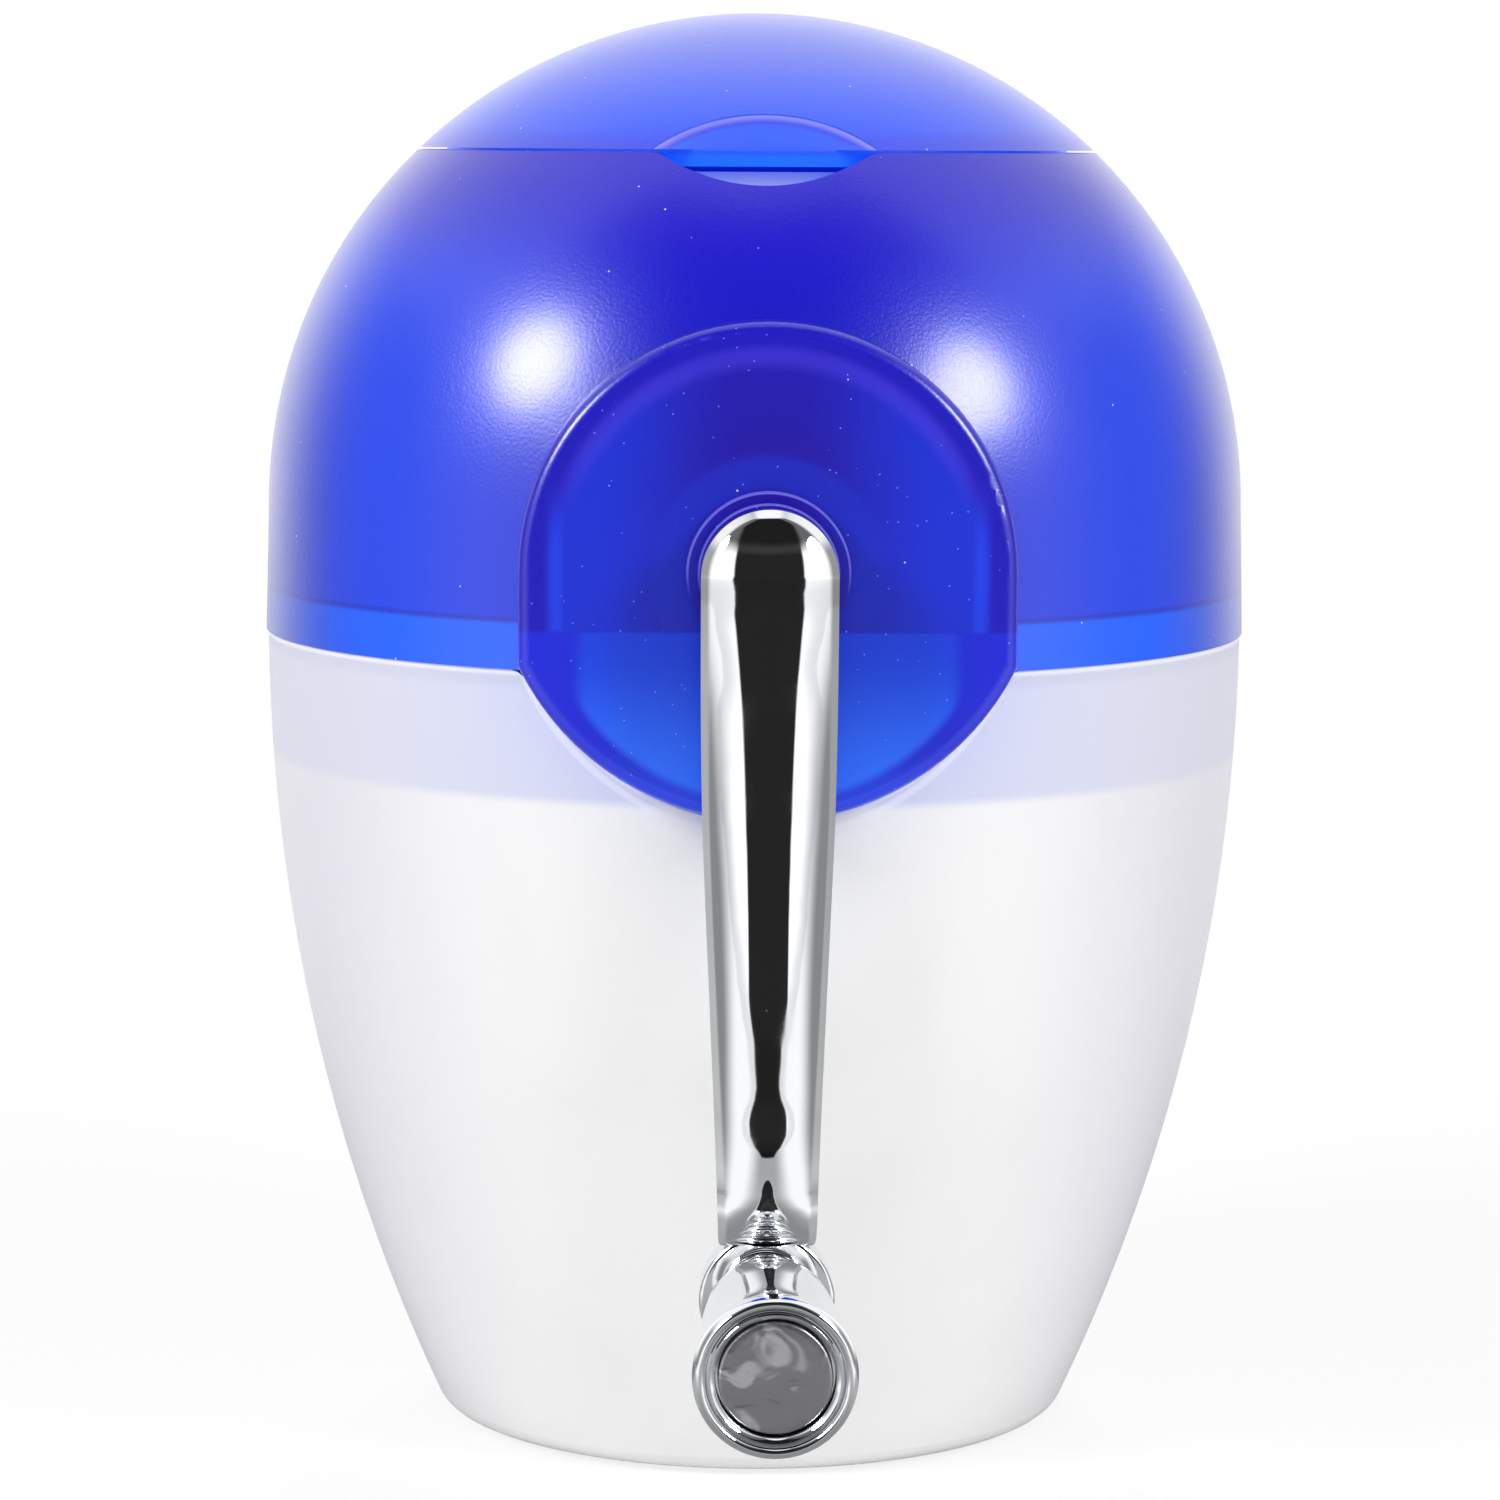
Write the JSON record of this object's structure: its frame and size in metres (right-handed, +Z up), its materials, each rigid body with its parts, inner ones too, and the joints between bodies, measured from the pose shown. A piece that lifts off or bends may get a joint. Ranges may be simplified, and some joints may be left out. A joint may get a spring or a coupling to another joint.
{
  "type": "hand crank ice crusher",
  "caption": "Egg-shaped table ice crusher: frosted ice container under a see-through head with a hinged lid, and a front crank that turns clawed blades between fixed combs.",
  "frame": {"origin": "centre of the base pad's underside, on the table", "axes": "+Z up along the body's axis, -Y towards the front, where the crank is"},
  "size_m": [0.16, 0.2272, 0.2297],
  "materials": {
    "frosted_plastic": "frosted, see-through",
    "blue_plastic": "see-through, faintly textured",
    "milky_plastic": "satin",
    "bearing_plastic": "satin",
    "chrome": "polished",
    "plug_mirror": "slightly wavy mirror",
    "steel": "stamped and turned",
    "pad_rubber": "matt"
  },
  "bodies": {
    "container": {"ice_container": "frosted_plastic", "base_pad": "pad_rubber"},
    "head": {"head_shell": "blue_plastic", "ice_hopper": "milky_plastic", "front_bearing": "bearing_plastic", "rear_bush": "bearing_plastic", "fixed_comb_left": "steel", "fixed_comb_right": "steel", "comb_screws": "steel", "hopper_screws": "steel", "lid_hinge_pin": "steel"},
    "lid_body": {"lid": "blue_plastic"},
    "crank": {"crank_arm": "chrome", "drive_shaft": "steel", "crank_washer": "steel", "rear_washer": "steel", "retaining_clip": "steel", "knob_screw": "steel", "knob_washer": "steel", "crusher_blade_1": "steel", "crusher_blade_2": "steel", "crusher_blade_3": "steel", "crusher_blade_4": "steel", "crusher_blade_5": "steel", "blade_spacer_1": "steel", "blade_spacer_2": "steel", "blade_spacer_3": "steel", "blade_spacer_4": "steel", "blade_spacer_5": "steel", "blade_spacer_6": "steel"},
    "grip": {"knob": "chrome", "knob_end_plug": "plug_mirror"}
  },
  "joints": [
    {"name": "head_lift", "type": "slide", "parent": "container", "child": "head", "axis": [0, 0, 1], "range_m": [0, 0.08]},
    {"name": "lid_hinge", "type": "hinge", "parent": "head", "child": "lid_body", "pos_m": [0, 0.0575, 0.21071], "axis": [-1, 0, 0], "range_deg": [0, 105]},
    {"name": "crank_turn", "type": "hinge", "parent": "head", "child": "crank", "pos_m": [0, 0, 0.146], "axis": [0, -1, 0], "continuous": true},
    {"name": "knob_turn", "type": "hinge", "parent": "crank", "child": "grip", "pos_m": [0, -0.1, 0.04], "axis": [0, -1, 0], "continuous": true}
  ]
}
